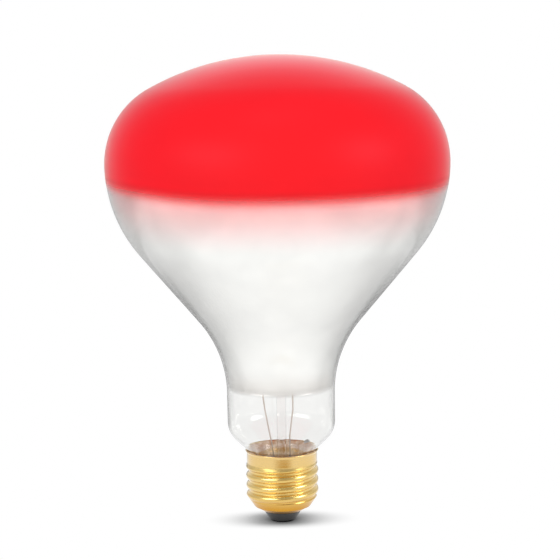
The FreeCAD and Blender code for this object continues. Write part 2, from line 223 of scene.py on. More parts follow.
def envelopeSheet(inset, low, high=None):
    # one layer of the envelope, cut to a band of heights, or at its lower edge only
    bm = bmesh.new()
    drawEnvelope(bm, inset)
    spinSection(bm, envelope["steps"])
    for height, upper in ((high, True), (low, False)):
        if height is not None:
            bmesh.ops.bisect_plane(
                bm, geom=bm.verts[:] + bm.edges[:] + bm.faces[:], dist=weld,
                plane_co=(0, 0, height), plane_no=(0, 0, 1),
                clear_outer=upper, clear_inner=not upper)
    return bm


# Clear soda-lime glass, blown in a mould: nearly colourless, with faint swirls where it cooled
def makeBulbGlass():
    material, tree, shader, coords = newMaterial(
        "blownSodaLimeGlass", Transmission_Weight=1.0, IOR=1.5, Roughness=0.0)
    swirlSize = 9.0
    swirl = addNode(tree, "ShaderNodeTexNoise", {
        "Vector": coords, "Scale": 1 / (swirlSize * mm), "Detail": 2.0})
    patternFinish(tree, shader, swirl.outputs["Fac"], "#F7F7F6", "#FCFCFB", bump=(0.012, 0.3))
    return material


def makeBulb():
    bm = bmesh.new()
    outerFoot = drawEnvelope(bm, 0)
    innerFoot = drawEnvelope(bm, envelope["wall"])
    bm.edges.new((outerFoot, innerFoot))
    spinSection(bm, envelope["steps"])
    piece = finishPiece(bm, "bulbGlass", makeBulbGlass(), ["glass_bulb"])
    piece.visible_shadow = False       # clear glass lets the lamps through


# Aluminium evaporated onto the inside of the bowl: bright satin silver that thins out at the neck,
# stained red and pink where the sprayed crown and its dust lie over it
mirrorCoat = {
    "gap": 0.06,               # behind the glass, so that the two faces don't fight
    "thickness": 0.08,
    "cloud": 14.0,             # size of the faint clouds in the film
    "colours": ("#F5F5F4", "#FCFCFB"),
    "roughness": (0.2, 0.28),
    "fade": (0.3, 4.0),        # heights over its lower edge where the film begins and is whole
    "wander": 1.5,             # the clouds move that by up to this
    "greying": 11.0,              # height over its lower edge over which the film's colour turns greyer
    "greyColour": "#E4E1DE",
    "stain": "#FF2A2C",
    "edge": (118.5, 130.0),    # heights of the red spray edge, seen against the mirror
    "dust": (103.5, 124.5),    # and of the pink dust that drifted below it
    "dustShare": 0.5,
    "drift": 2.0,              # the clouds move both by up to this
    "tilt": 0.042,             # the spray edge climbs this much from the front to the back,
    "leftClimb": 1.7,          # and so many millimetres at the far left,
    "leftFrom": 0.3,           # beginning at this share of the radius
}


def sprayHeight(tree, coords):
    # height over the foot, less what the spray edge climbs by there
    radius = envelope["radius"] * mm
    place = addNode(tree, "ShaderNodeSeparateXYZ", {"Vector": coords})
    back = addNode(tree, "ShaderNodeMath", {0: place.outputs["Y"], 1: radius}, operation="ADD")
    level = addNode(tree, "ShaderNodeMath", {
        0: back.outputs[0], 1: -mirrorCoat["tilt"], 2: place.outputs["Z"]},
        operation="MULTIPLY_ADD")
    climb = addNode(tree, "ShaderNodeMapRange", {
        "Value": place.outputs["X"], "From Min": -radius,
        "From Max": -mirrorCoat["leftFrom"] * radius,
        "To Min": mirrorCoat["leftClimb"] * mm, "To Max": 0.0}, interpolation_type="SMOOTHSTEP")
    level = addNode(tree, "ShaderNodeMath", {
        0: level.outputs[0], 1: climb.outputs["Result"]}, operation="SUBTRACT")
    return level.outputs[0]


def makeMirrorMaterial(low):
    m = mirrorCoat
    material, tree, shader, coords = newMaterial("evaporatedAluminium", Metallic=1.0)
    height = addNode(tree, "ShaderNodeSeparateXYZ", {"Vector": coords}).outputs["Z"]
    cloud = addNode(tree, "ShaderNodeTexNoise", {
        "Vector": coords, "Scale": 1 / (m["cloud"] * mm), "Detail": 3.0}).outputs["Fac"]
    colour = patternFinish(tree, shader, cloud, *m["colours"], rough=m["roughness"])
    # the colour turns greyer towards the film's lower edge
    greying = addNode(tree, "ShaderNodeMapRange", {
        "Value": height, "From Min": low * mm, "From Max": (low + m["greying"]) * mm,
        "To Min": 1.0, "To Max": 0.0}, interpolation_type="SMOOTHSTEP")
    colour = addNode(tree, "ShaderNodeMix", {
        "Factor": greying.outputs["Result"], "A": colour, "B": linear(m["greyColour"])},
        data_type="RGBA")
    # half of the drift is its mean, so the heights are those of the middle of the edge
    drift = addNode(tree, "ShaderNodeMath", {
        0: cloud, 1: m["drift"] * mm, 2: sprayHeight(tree, coords)}, operation="MULTIPLY_ADD")
    layers = []
    for (start, end), share in ((m["edge"], 1 - m["dustShare"]), (m["dust"], m["dustShare"])):
        layer = addNode(tree, "ShaderNodeMapRange", {
            "Value": drift.outputs[0], "From Min": (start + m["drift"] / 2) * mm,
            "From Max": (end + m["drift"] / 2) * mm, "To Max": share},
            interpolation_type="SMOOTHSTEP")
        layers.append(layer.outputs["Result"])
    cover = addNode(tree, "ShaderNodeMath", {0: layers[0], 1: layers[1]}, operation="ADD",
                    use_clamp=True)
    colour = addNode(tree, "ShaderNodeMix", {
        "Factor": cover.outputs[0], "A": colour.outputs["Result"], "B": linear(m["stain"])},
        data_type="RGBA")
    tree.links.new(colour.outputs["Result"], shader.inputs["Base Color"])
    wander = addNode(tree, "ShaderNodeMath", {0: cloud, 1: m["wander"] * mm, 2: height},
                     operation="MULTIPLY_ADD")
    solid = addNode(tree, "ShaderNodeMapRange", {
        "Value": wander.outputs[0], "From Min": (low + m["fade"][0]) * mm,
        "From Max": (low + m["fade"][1]) * mm}, interpolation_type="SMOOTHSTEP")
    tree.links.new(solid.outputs["Result"], shader.inputs["Alpha"])
    return material


def makeMirror():
    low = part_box("mirror_film")[0].z / mm
    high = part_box("mirror_film")[1].z / mm
    bm = envelopeSheet(envelope["wall"] + mirrorCoat["gap"], low, high)
    piece = finishPiece(bm, "mirrorCoat", makeMirrorMaterial(low), ["mirror_film"],
                        wall=mirrorCoat["thickness"])
    piece.visible_shadow = False


# Red lacquer sprayed over the crown: even and deep, a soft edge below, and a paler satin bloom
# where it is seen at a flat angle
redCoat = {
    "thickness": 0.08,
    "cloud": 22.0,
    "colours": ("#EE2D29", "#F42F2B"),
    "fade": (0.6, 8.3),        # heights over the lower edge where the coat begins and covers fully
}


def makeRedMaterial(low):
    material, tree, shader, coords = newMaterial(
        "sprayedRedLacquer", Roughness=0.4, IOR=1.12, Coat_Weight=1.0, Coat_Roughness=0.4,
        Coat_IOR=1.1, Coat_Tint=(1.0, 0.5, 0.85, 1.0), Sheen_Weight=0.85, Sheen_Roughness=0.28,
        Sheen_Tint=(1.0, 0.95, 0.84, 1.0))
    cloud = addNode(tree, "ShaderNodeTexNoise", {
        "Vector": coords, "Scale": 1 / (redCoat["cloud"] * mm), "Detail": 4.0})
    patternFinish(tree, shader, cloud.outputs["Fac"], *redCoat["colours"])
    cover = addNode(tree, "ShaderNodeMapRange", {
        "Value": sprayHeight(tree, coords), "From Min": (low + redCoat["fade"][0]) * mm,
        "From Max": (low + redCoat["fade"][1]) * mm}, interpolation_type="SMOOTHSTEP")
    tree.links.new(cover.outputs["Result"], shader.inputs["Alpha"])
    return material


def makeRedCoat():
    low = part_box("red_lacquer")[0].z / mm
    bm = envelopeSheet(-redCoat["thickness"], low)
    piece = finishPiece(bm, "redCoat", makeRedMaterial(low), ["red_lacquer"])
    piece.visible_shadow = False


makeBulb()
makeMirror()
makeRedCoat()
print("bulb, mirror and red coat made")


# Rolled brass screw shell

shellShape = {
    "wall": 0.3,
    "opening": 7.3,
    "floor": 10.3,
    "floorRise": 1.7,
    "corner": ((0.75, -0.32), (0.15, 0.05)),   # in from the floor's edge and up, where it rounds
    "taperRise": 3.5,
    "crest": 13.15,
    "depth": 1.1,
    "rootFlat": 0.06,      # the bottom of the thread is flat up to this height
    "pitch": 3.629,
    "startAngle": 143.0,
    "fade": 1.4,
    "collar": 12.75,
    "collarLength": 5.0,
    "collarRise": 0.5,
    "rim": 13.3,
    "rimFlare": 0.8,
    "rowHeight": 0.12,     # of the mesh on the thread
    "rows": {"floor": 4, "corner": 3, "step": 5, "collar": 12, "rim": 3},
    "steps": 180,
}
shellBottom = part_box("cap_shell")[0].z / mm
floorTop = shellBottom + shellShape["floorRise"]
taperTop = floorTop + shellShape["taperRise"]
collarBottom = rimHeight - shellShape["collarLength"]
threadArc = (shellShape["pitch"] ** 2 / 4 + shellShape["depth"] ** 2) / (4 * shellShape["depth"])
rootRadius = shellShape["crest"] - shellShape["depth"]


def threadRadius(angle, height):
    s = shellShape
    turns = ((height - floorTop) / s["pitch"]
             - (angle - math.radians(s["startAngle"])) / (2 * math.pi))
    offCrest = abs(turns - round(turns)) * s["pitch"]
    if offCrest <= s["pitch"] / 4:
        return s["crest"] - threadArc + math.sqrt(threadArc ** 2 - offCrest ** 2)
    offRoot = s["pitch"] / 2 - offCrest
    return rootRadius + threadArc - math.sqrt(threadArc ** 2 - offRoot ** 2)


def threadLimit(height):
    # the ridge rises out of the taper and sinks under the collar
    lowTop = taperTop + shellShape["fade"] / 2
    highFoot = collarBottom - shellShape["fade"]
    highTop = collarBottom + shellShape["collarRise"]
    most = shellShape["crest"]
    if height < lowTop:
        share = max(0, (height - floorTop) / (lowTop - floorTop))
        return shellShape["floor"] + (most - shellShape["floor"]) * share
    if height > highFoot:
        share = min(1, (height - highFoot) / (highTop - highFoot))
        return most + (shellShape["collar"] - most) * share
    return most


# Brass strip, rolled and then drawn: warm and bright under a clear coat that fades out at the foot,
# with fine streaks round the cap; the deeper colour at the foot is painted shade and reflection,
# and the paler collar is painted reflection of the bright floor
brassFinish = {
    "streak": 0.5,
    "streakShape": (0.12, 0.12, 1.0),
    "blotch": 6.0,
    "foot": (1.0, 3.0),        # its painted shade and the coat's fade end between these heights over bottom and taper,
    "collar": (-1.0, 2.0),     # and the collar's paler painted reflection begins between these, from its lower edge
    "streakRange": (0.3, 0.7),
    "rough": (0.18, 0.3),
    "bump": (0.05, 0.05),
}


def makeBrassMaterial(name, dark, light, deep, pale):
    b = brassFinish
    material, tree, shader, coords = newMaterial(
        name, Metallic=1.0, Coat_Roughness=0.17, Coat_IOR=1.7)
    stretch = addNode(tree, "ShaderNodeMapping", {"Vector": coords, "Scale": b["streakShape"]})
    streak = addNode(tree, "ShaderNodeTexNoise", {
        "Vector": stretch.outputs[0], "Scale": 1 / (b["streak"] * mm), "Detail": 3.0})
    blotch = addNode(tree, "ShaderNodeTexNoise", {
        "Vector": coords, "Scale": 1 / (b["blotch"] * mm), "Detail": 3.0})
    colour = addNode(tree, "ShaderNodeMix", {
        "Factor": blotch.outputs["Fac"], "A": linear(dark), "B": linear(light)}, data_type="RGBA")
    height = addNode(tree, "ShaderNodeSeparateXYZ", {"Vector": coords}).outputs["Z"]
    coatAndPaintedShade = addNode(tree, "ShaderNodeMapRange", {
        "Value": height, "From Min": (shellBottom + b["foot"][0]) * mm,
        "From Max": (taperTop + b["foot"][1]) * mm}, interpolation_type="SMOOTHSTEP")
    tree.links.new(coatAndPaintedShade.outputs["Result"], shader.inputs["Coat Weight"])
    # the deeper foot colour is painted shade and reflection; the clear coat fades out over the same
    # heights
    colour = addNode(tree, "ShaderNodeMix", {
        "Factor": coatAndPaintedShade.outputs["Result"], "A": linear(deep), "B": colour.outputs["Result"]},
        data_type="RGBA")
    # the paler collar colour is painted reflection of the bright floor in front
    collarPaintedReflection = addNode(tree, "ShaderNodeMapRange", {
        "Value": height, "From Min": (collarBottom + b["collar"][0]) * mm,
        "From Max": (collarBottom + b["collar"][1]) * mm}, interpolation_type="SMOOTHSTEP")
    colour = addNode(tree, "ShaderNodeMix", {
        "Factor": collarPaintedReflection.outputs["Result"], "A": colour.outputs["Result"], "B": linear(pale)},
        data_type="RGBA")
    tree.links.new(colour.outputs["Result"], shader.inputs["Base Color"])
    rough = addNode(tree, "ShaderNodeMapRange", {
        "Value": streak.outputs["Fac"], "From Min": b["streakRange"][0],
        "From Max": b["streakRange"][1], "To Min": b["rough"][0], "To Max": b["rough"][1]})
    tree.links.new(rough.outputs["Result"], shader.inputs["Roughness"])
    bump = addNode(tree, "ShaderNodeBump", {
        "Height": streak.outputs["Fac"], "Strength": b["bump"][0], "Distance": b["bump"][1] * mm})
    tree.links.new(bump.outputs["Normal"], shader.inputs["Normal"])
    return material


def makeShell():
    s, rows = shellShape, shellShape["rows"]
    core = rootRadius + s["rootFlat"]
    bm = bmesh.new()
    vert = bm.verts.new((s["opening"], 0, shellBottom))
    for (inwards, up), count in zip(s["corner"], (rows["floor"], rows["corner"])):
        vert = lineTo(bm, vert, s["floor"] - inwards, floorTop + up, count)
    threadRows = round((collarBottom - floorTop) / s["rowHeight"])
    vert = lineTo(bm, vert, core, taperTop, round(s["taperRise"] / s["rowHeight"]))
    vert = lineTo(bm, vert, core, collarBottom - s["collarRise"], threadRows)
    vert = lineTo(bm, vert, s["collar"], collarBottom, rows["step"])
    vert = lineTo(bm, vert, s["collar"], rimHeight - s["rimFlare"], rows["collar"])
    lineTo(bm, vert, s["rim"], rimHeight, rows["rim"])
    spinSection(bm, s["steps"])
    for vert in bm.verts:
        radius = math.hypot(vert.co.x, vert.co.y)
        if floorTop < vert.co.z < collarBottom + s["collarRise"]:
            angle = math.atan2(vert.co.y, vert.co.x)
            pushed = max(radius, min(threadRadius(angle, vert.co.z), threadLimit(vert.co.z)))
            vert.co.x *= pushed / radius
            vert.co.y *= pushed / radius
    # third colour: painted shade and reflection at the foot; fourth: painted reflection on the
    # collar
    brass = makeBrassMaterial("rolledBrass", "#E7BE5A", "#F4D47E", "#D69A2E", "#EFCA7C")
    finishPiece(bm, "screwShell", brass, ["cap_shell"], sharpAngle=60, wall=s["wall"])


makeShell()
print("screw shell made")


# Contact end, stem and wires

# Black insulating glass, pressed hot into the shell: deep black with a soft gloss and tiny pits
def makeBlackGlassMaterial():
    material, tree, shader, coords = newMaterial("pressedBlackGlass", IOR=1.52)
    pitSize = 0.6
    pits = addNode(tree, "ShaderNodeTexNoise", {
        "Vector": coords, "Scale": 1 / (pitSize * mm), "Detail": 3.0})
    patternFinish(tree, shader, pits.outputs["Fac"], "#1C1C1E", "#2E2D2D",
                  rough=(0.28, 0.45), bump=(0.15, 0.05))
    return material


# Tin solder, frozen where it ran: dull grey with a grainy skin
def makeSolderMaterial():
    material, tree, shader, coords = newMaterial("frozenSolder", Metallic=1.0)
    grainSize = 0.35
    grain = addNode(tree, "ShaderNodeTexNoise", {
        "Vector": coords, "Scale": 1 / (grainSize * mm), "Detail": 4.0})
    patternFinish(tree, shader, grain.outputs["Fac"], "#8E8E8B", "#C9C8C4",
                  rough=(0.3, 0.55), bump=(0.25, 0.05))
    return material


# Drawn wire: dull metal with streaks along its length
def makeWireMaterial(name, dark, light, rough):
    material, tree, shader, coords = newMaterial(name, Metallic=1.0)
    streakSize = 0.4
    streakShape = (1.0, 1.0, 0.1)
    stretch = addNode(tree, "ShaderNodeMapping", {"Vector": coords, "Scale": streakShape})
    streak = addNode(tree, "ShaderNodeTexNoise", {
        "Vector": stretch.outputs[0], "Scale": 1 / (streakSize * mm), "Detail": 3.0})
    patternFinish(tree, shader, streak.outputs["Fac"], dark, light, rough=rough)
    return material


# Pressed stem glass: clear and faint, so that its edges hardly draw in the bright neck
def makeStemGlass():
    material, tree, shader, coords = newMaterial(
        "pressedStemGlass", Transmission_Weight=1.0, IOR=1.2, Roughness=0.02)
    seedSize = 2.5
    seed = addNode(tree, "ShaderNodeTexNoise", {
        "Vector": coords, "Scale": 1 / (seedSize * mm), "Detail": 2.0})
    patternFinish(tree, shader, seed.outputs["Fac"], "#F8F5F4", "#FEFCFC", bump=(0.08, 0.2))
    return material


# Baked capping cement: matt tan-brown paste with pale and dark patches
def makeCementMaterial():
    material, tree, shader, coords = newMaterial("bakedCement", Roughness=0.85)
    lumpSize = 2.2
    patches = (0.4, 0.66)      # levels of the pattern where it is wholly dark and wholly pale
    lump = addNode(tree, "ShaderNodeTexNoise", {
        "Vector": coords, "Scale": 1 / (lumpSize * mm), "Detail": 5.0})
    spread = addNode(tree, "ShaderNodeMapRange", {
        "Value": lump.outputs["Fac"], "From Min": patches[0], "From Max": patches[1]})
    patternFinish(tree, shader, spread.outputs["Result"], "#C48E58", "#F2DCC4")
    bump = addNode(tree, "ShaderNodeBump", {
        "Height": lump.outputs["Fac"], "Strength": 0.4, "Distance": 0.2 * mm})
    tree.links.new(bump.outputs["Normal"], shader.inputs["Normal"])
    return material


# Cement pressed up between the glass and the rim, with a ragged top
cementSmear = {
    "low": 8.0,            # below the rim
    "narrow": 4.4,         # the shell's thread leaves less room from here down
    "narrowRadius": 11.6,
    "high": 0.04,
    "ragged": 0.45,        # how far its top edge dips
    "lump": 2.0,           # length of the lumps along the edge
    "glassGap": 0.05,
    "steps": 240,
    "rows": 12,
}


def makeCementSmear(material):
    c = cementSmear
    rimInside = shellShape["rim"] - shellShape["wall"]
    collarInside = shellShape["collar"] - shellShape["wall"]
    inner, outer = 1, 2        # a plain ring of height 1, whose points are then put in place
    bm = bmesh.new()
    corner = bm.verts.new((inner, 0, 0))
    vert = lineTo(bm, corner, inner, 1, c["rows"])
    vert = lineTo(bm, vert, outer, 1)
    vert = lineTo(bm, vert, outer, 0, c["rows"])
    bm.edges.new((vert, corner))
    spinSection(bm, c["steps"])
    for vert in bm.verts:
        onShell = math.hypot(vert.co.x, vert.co.y) > (inner + outer) / 2
        around = vert.co.xy.normalized()
        lumps = noise.noise(Vector((*around, 0)) * collarInside / c["lump"])
        dip = c["ragged"] * (0.5 + 0.5 * lumps)
        below = c["low"] + (c["high"] + dip - c["low"]) * vert.co.z
        if onShell:
            flare = max(0, 1 - below / shellShape["rimFlare"])
            radius = collarInside + flare * (rimInside - collarInside)
            radius = c["narrowRadius"] if below > c["narrow"] else radius
        else:
            glass = envelope["radiusAtRim"] - below * math.tan(shoulderSlope)
            radius = max(envelope["throat"], glass) + c["glassGap"]
        vert.co = (around.x * radius, around.y * radius, rimHeight - below)
    finishPiece(bm, "cementSmear", material, [])


# Filament: wire wound in a coil, hung in straight spans between the supports
coilShape = {
    "ring": 14.0,
    "start": -28.0,
    "sweep": 236.0,
    "spans": 5,
    "belowEquator": 36.3,
    "bend": 1.5,           # where a span turns over its support
    "coil": 1.2,
    "wire": 0.3,
    "pitch": 0.56,
    "leg": 2.4,
    "perTurn": 12,
    "roundness": 2,        # of the wire's mesh
}


def coilAxis():
    # evenly spaced points along the spans and round the bends
    c = coilShape
    step = c["pitch"] / c["perTurn"]
    turn = math.radians(c["sweep"] / c["spans"])
    cut = c["bend"] * math.tan(turn / 2)
    height = equator - c["belowEquator"]
    corners = [Matrix.Rotation(math.radians(c["start"]) + turn * i, 3, "Z")
               @ Vector((c["ring"], 0, height)) for i in range(c["spans"] + 1)]
    points = []
    for index in range(c["spans"]):
        run = (corners[index + 1] - corners[index]).normalized()
        begin = corners[index] + run * (cut if index else 0)
        last = index == c["spans"] - 1
        end = corners[index + 1] - run * (0 if last else cut)
        count = round((end - begin).length / step)
        points += [begin.lerp(end, i / count) for i in range(count)]
        if last:
            return points + [end]
        middle = end + Vector((-run.y, run.x, 0)) * c["bend"]
        count = round(turn * c["bend"] / step)
        points += [middle + Matrix.Rotation(turn * i / count, 3, "Z") @ (end - middle)
                   for i in range(count)]


def makeFilament(material):
    c = coilShape
    axis = coilAxis()
    up = Vector((0, 0, 1))
    winding = (c["coil"] - c["wire"]) / 2
    points = [axis[0] + (axis[0] - axis[1]).normalized() * c["leg"]]
    for index in range(1, len(axis) - 1):
        side = (axis[index + 1] - axis[index - 1]).normalized().cross(up)
        phase = 2 * math.pi * index / c["perTurn"]
        out = winding * min(1, index / c["perTurn"], (len(axis) - 1 - index) / c["perTurn"])
        points.append(axis[index] + up * out * math.cos(phase) + side * out * math.sin(phase))
    points.append(axis[-1] + (axis[-1] - axis[-2]).normalized() * c["leg"])
    curve = bpy.data.curves.new("coilWire", "CURVE")
    curve.dimensions = "3D"
    curve.bevel_depth = c["wire"] / 2
    curve.bevel_resolution = c["roundness"]
    curve.use_fill_caps = True
    wire = curve.splines.new("POLY")
    wire.points.add(len(points) - 1)
    for point, place in zip(wire.points, points):
        point.co = (*place, 1)
    holder = bpy.data.objects.new("coilWire", curve)
    bm = bmesh.new()
    bm.from_mesh(bpy.data.meshes.new_from_object(holder))
    bpy.data.objects.remove(holder)
    finishPiece(bm, "filamentCoil", material, ["filament"])


stemGlass = makeStemGlass()
blackGlass = makeBlackGlassMaterial()
solder = makeSolderMaterial()
cement = makeCementMaterial()
nickelWire = makeWireMaterial("drawnNickelWire", "#B4A096", "#DACEC6", (0.25, 0.4))
copperWire = makeWireMaterial("drawnCopperWire", "#A8623E", "#D09070", (0.25, 0.4))
molybdenumWire = makeWireMaterial("drawnMolybdenum", "#6A6A6C", "#8E8E90", (0.3, 0.45))
tungsten = makeWireMaterial("drawnTungsten", "#4A4A4E", "#707074", (0.3, 0.5))
# dark brass colours for the contact plate are painted shade: it sits in the cap's shadow on the
# floor
shadedContactBrass = makeBrassMaterial("shadeDarkenedBrass", "#5A4A34", "#7A6648", "#6A563A", "#6A563A")

for node, name, material, slot in (
        ("cap_insulator", "insulator", blackGlass, "black_glass"),
        ("centre_contact", "contactPlate", shadedContactBrass, "contact_brass"),
        ("contact_solder", "contactSolder", solder, "solder"),
        ("rim_solder", "rimSolder", solder, "solder"),
        ("cap_cement", "cementRing", cement, "cap_cement")):
    finishPiece(mergedCopy(node), name, material, [node])
makeCementSmear(cement)
for node, name, material, slot in (
        ("stem_flare", "stemFlare", stemGlass, "stem_glass"),
        ("exhaust_tube", "exhaustTube", stemGlass, "stem_glass"),
        ("arbor_rod", "arborRod", stemGlass, "stem_glass"),
        ("lead_wire_left", "leadLeft", nickelWire, "nickel_wire"),
        ("lead_wire_right", "leadRight", nickelWire, "nickel_wire"),
        ("seal_wire_left", "sealWireLeft", copperWire, "copper_wire"),
        ("seal_wire_right", "sealWireRight", copperWire, "copper_wire"),
        ("shell_lead", "shellLead", copperWire, "copper_wire"),
        ("contact_lead", "contactLead", copperWire, "copper_wire"),
        ("support_wire_1", "supportWire1", molybdenumWire, "support_wire"),
        ("support_wire_2", "supportWire2", molybdenumWire, "support_wire"),
        ("support_wire_3", "supportWire3", molybdenumWire, "support_wire"),
        ("support_wire_4", "supportWire4", molybdenumWire, "support_wire")):
    piece = finishPiece(mergedCopy(node), name, material, [node])
    piece.visible_shadow = material is not stemGlass       # clear glass lets the lamps through
makeFilament(tungsten)
print("stem, wires and contact end made")


# Studio: white floor and background, two softboxes in front, a top and a back light, and a dim room
# and a warm card that only reflections see

def stageMaterial(name):
    material = bpy.data.materials.new(name)
    material.use_nodes = True
    tree = material.node_tree
    tree.nodes.clear()
    coords = addNode(tree, "ShaderNodeTexCoord").outputs["Object"]
    return material, tree, coords


def addStage(bm, name, material, unseenBy=()):
    mesh = bpy.data.meshes.new(name)
    bm.to_mesh(mesh)
    bm.free()
    mesh.materials.append(material)
    thing = bpy.data.objects.new(name, mesh)
    bpy.context.scene.collection.objects.link(thing)
    for ray in unseenBy:
        setattr(thing, "visible_" + ray, False)


# White paper: plain white with the cap's soft shadow. Reflections see it with levels of their own,
# told apart by how often the ray has crossed glass. Lengths are in metres from the lamp.
floorLook = {
    "size": 6.0,
    "paper": 0.8,
    "shadowReach": 0.03,               # how near the cap has to be to shade the floor
    "shadowSpread": (0.031, 0.014),    # the shadow reaches left and right, and less far behind,
    "shadowFade": 0.4,                 # and fades out from this share of its spread on
    "shadowDepth": 1.13,
    "shadowSamples": 16,
    "frontRange": (-0.06, 0.11),       # the mirror sees the floor bright on the camera's side and
    "frontLevel": (1.19, 0.4),         # dim behind the lamp,
    "backRange": (0.11, 0.18),         # darkest well behind,
    "backDip": 0.25,
    "farRange": (0.24, 0.33),          # and lighter again far off
    "farLift": 0.2,
    "sideRange": (0.095, 0.155),       # to the left and right it is lighter, but not in front
    "sideFront": (0.0, 0.05),
    "sideLift": (-0.12, 0.34),
    "outerRange": (0.07, 0.14),        # plain gloss sees a white floor that is dimmer behind,
    "outerLevel": (0.97, 0.2),
    "nearRange": (0.22, 0.26),         # but stays white at the sides, less so further off
    "nearShare": 0.4,
    "underRange": (0.003, 0.009),      # right under the cap it is dark
    "underLevel": 0.15,
    "wallDepth": 0.5,                  # more crossings of glass than this: out of the wall,
    "bulbDepth": 2.5,                  # and more than this: from right inside the bulb
}


def makeFloorMaterial():
    f = floorLook
    material, tree, coords = stageMaterial("whitePaper")
    distance = addNode(tree, "ShaderNodeVectorMath", {0: coords}, operation="LENGTH")
    distance = distance.outputs["Value"]
    place = addNode(tree, "ShaderNodeSeparateXYZ", {"Vector": coords})
    side = addNode(tree, "ShaderNodeMath", {0: place.outputs["X"]}, operation="ABSOLUTE")
    path = addNode(tree, "ShaderNodeLightPath")
    paper = addNode(tree, "ShaderNodeBsdfDiffuse", {"Color": (f["paper"],) * 3 + (1.0,)})
    # contact shadow of the cap
    shade = addNode(tree, "ShaderNodeAmbientOcclusion", {"Distance": f["shadowReach"]},
                    samples=f["shadowSamples"])
    across, along = f["shadowSpread"]
    oval = addNode(tree, "ShaderNodeMapping", {
        "Vector": coords, "Scale": (1 / across, 1 / along, 0)})
    oval = addNode(tree, "ShaderNodeVectorMath", {0: oval.outputs[0]}, operation="LENGTH")
    fade = addNode(tree, "ShaderNodeMapRange", {
        "Value": oval.outputs["Value"], "From Min": f["shadowFade"], "To Min": 1.0, "To Max": 0.0},
        interpolation_type="SMOOTHSTEP")
    dark = addNode(tree, "ShaderNodeMath", {0: 1.0, 1: shade.outputs["AO"]}, operation="SUBTRACT")
    dark = addNode(tree, "ShaderNodeMath", {0: dark.outputs[0], 1: fade.outputs["Result"]},
                   operation="MULTIPLY")
    dark = addNode(tree, "ShaderNodeMath", {0: dark.outputs[0], 1: f["shadowDepth"]},
                   operation="MULTIPLY", use_clamp=True)
    lit = addNode(tree, "ShaderNodeMath", {0: 1.0, 1: dark.outputs[0]}, operation="SUBTRACT")
    seen = addNode(tree, "ShaderNodeEmission", {"Strength": lit.outputs[0]})
    # what reflections see of the floor
    levels = {}
    for name, value, (start, end), (first, last) in (
            ("front", place.outputs["Y"], f["frontRange"], f["frontLevel"]),
            ("back", place.outputs["Y"], f["backRange"], (0.0, f["backDip"])),
            ("far", distance, f["farRange"], (0.0, f["farLift"])),
            ("side", side.outputs[0], f["sideRange"], (0.0, 1.0)),
            ("gain", place.outputs["Y"], f["sideFront"], f["sideLift"]),
            ("outer", place.outputs["Y"], f["outerRange"], f["outerLevel"]),
            ("near", distance, f["nearRange"], (1.0, f["nearShare"])),
            ("under", distance, f["underRange"], (f["underLevel"], 1.0))):
        levels[name] = addNode(tree, "ShaderNodeMapRange", {
            "Value": value, "From Min": start, "From Max": end, "To Min": first, "To Max": last},
            interpolation_type="SMOOTHSTEP").outputs["Result"]
    mirror = addNode(tree, "ShaderNodeMath", {0: levels["front"], 1: levels["back"]},
                     operation="SUBTRACT")
    mirror = addNode(tree, "ShaderNodeMath", {0: mirror.outputs[0], 1: levels["far"]},
                     operation="ADD")
    mirror = addNode(tree, "ShaderNodeMath", {
        0: levels["side"], 1: levels["gain"], 2: mirror.outputs[0]}, operation="MULTIPLY_ADD")
    near = addNode(tree, "ShaderNodeMath", {0: levels["near"], 1: levels["side"]},
                   operation="MULTIPLY")
    outer = addNode(tree, "ShaderNodeMix", {
        "Factor": near.outputs[0], "A": levels["outer"], "B": f["outerLevel"][0]},
        data_type="FLOAT")
    inWall = addNode(tree, "ShaderNodeMath", {
        0: path.outputs["Transmission Depth"], 1: f["wallDepth"]}, operation="GREATER_THAN")
    inBulb = addNode(tree, "ShaderNodeMath", {
        0: path.outputs["Transmission Depth"], 1: f["bulbDepth"]}, operation="GREATER_THAN")
    level = addNode(tree, "ShaderNodeMix", {
        "Factor": inWall.outputs[0], "A": outer.outputs["Result"], "B": 1.0}, data_type="FLOAT")
    level = addNode(tree, "ShaderNodeMix", {
        "Factor": inBulb.outputs[0], "A": level.outputs["Result"], "B": mirror.outputs[0]},
        data_type="FLOAT")
    level = addNode(tree, "ShaderNodeMath", {0: level.outputs["Result"], 1: levels["under"]},
                    operation="MULTIPLY")
    mirrored = addNode(tree, "ShaderNodeEmission", {"Strength": level.outputs[0]})
    white = addNode(tree, "ShaderNodeEmission", {"Strength": 1.0})
    # seen from below, the floor is clear
    geometry = addNode(tree, "ShaderNodeNewGeometry")
    clear = addNode(tree, "ShaderNodeBsdfTransparent")
    mixed = paper
    for share, shader in ((path.outputs["Is Camera Ray"], seen),
                          (path.outputs["Is Transmission Ray"], white),
                          (path.outputs["Glossy Depth"], mirrored),
                          (geometry.outputs["Backfacing"], clear)):
        mixed = addNode(tree, "ShaderNodeMixShader", {
            0: share, 1: mixed.outputs[0], 2: shader.outputs[0]})
    addNode(tree, "ShaderNodeOutputMaterial", {"Surface": mixed.outputs[0]})
    return material


def makeFloor():
    bm = bmesh.new()
    bmesh.ops.create_grid(bm, x_segments=1, y_segments=1, size=floorLook["size"] / 2)
    addStage(bm, "floor", makeFloorMaterial())


# Dim studio walls, with the white background open behind the lamp
roomLook = {
    "radius": 2.0,
    "segments": (64, 32),
    "side": 0.7,
    "front": 0.46,
    "turn": (100.0, 170.0),    # degrees from straight behind, from the sides to the front
    "open": (22.0, 55.0),      # degrees from straight behind, where the white background ends
    "top": (25.0, 75.0),       # degrees of height over which the white background darkens
    "veil": 0.45,              # how much of the white background is dimmed all over
    "mirrorDepth": 0.5,        # only rays with more reflections than this see the room
}


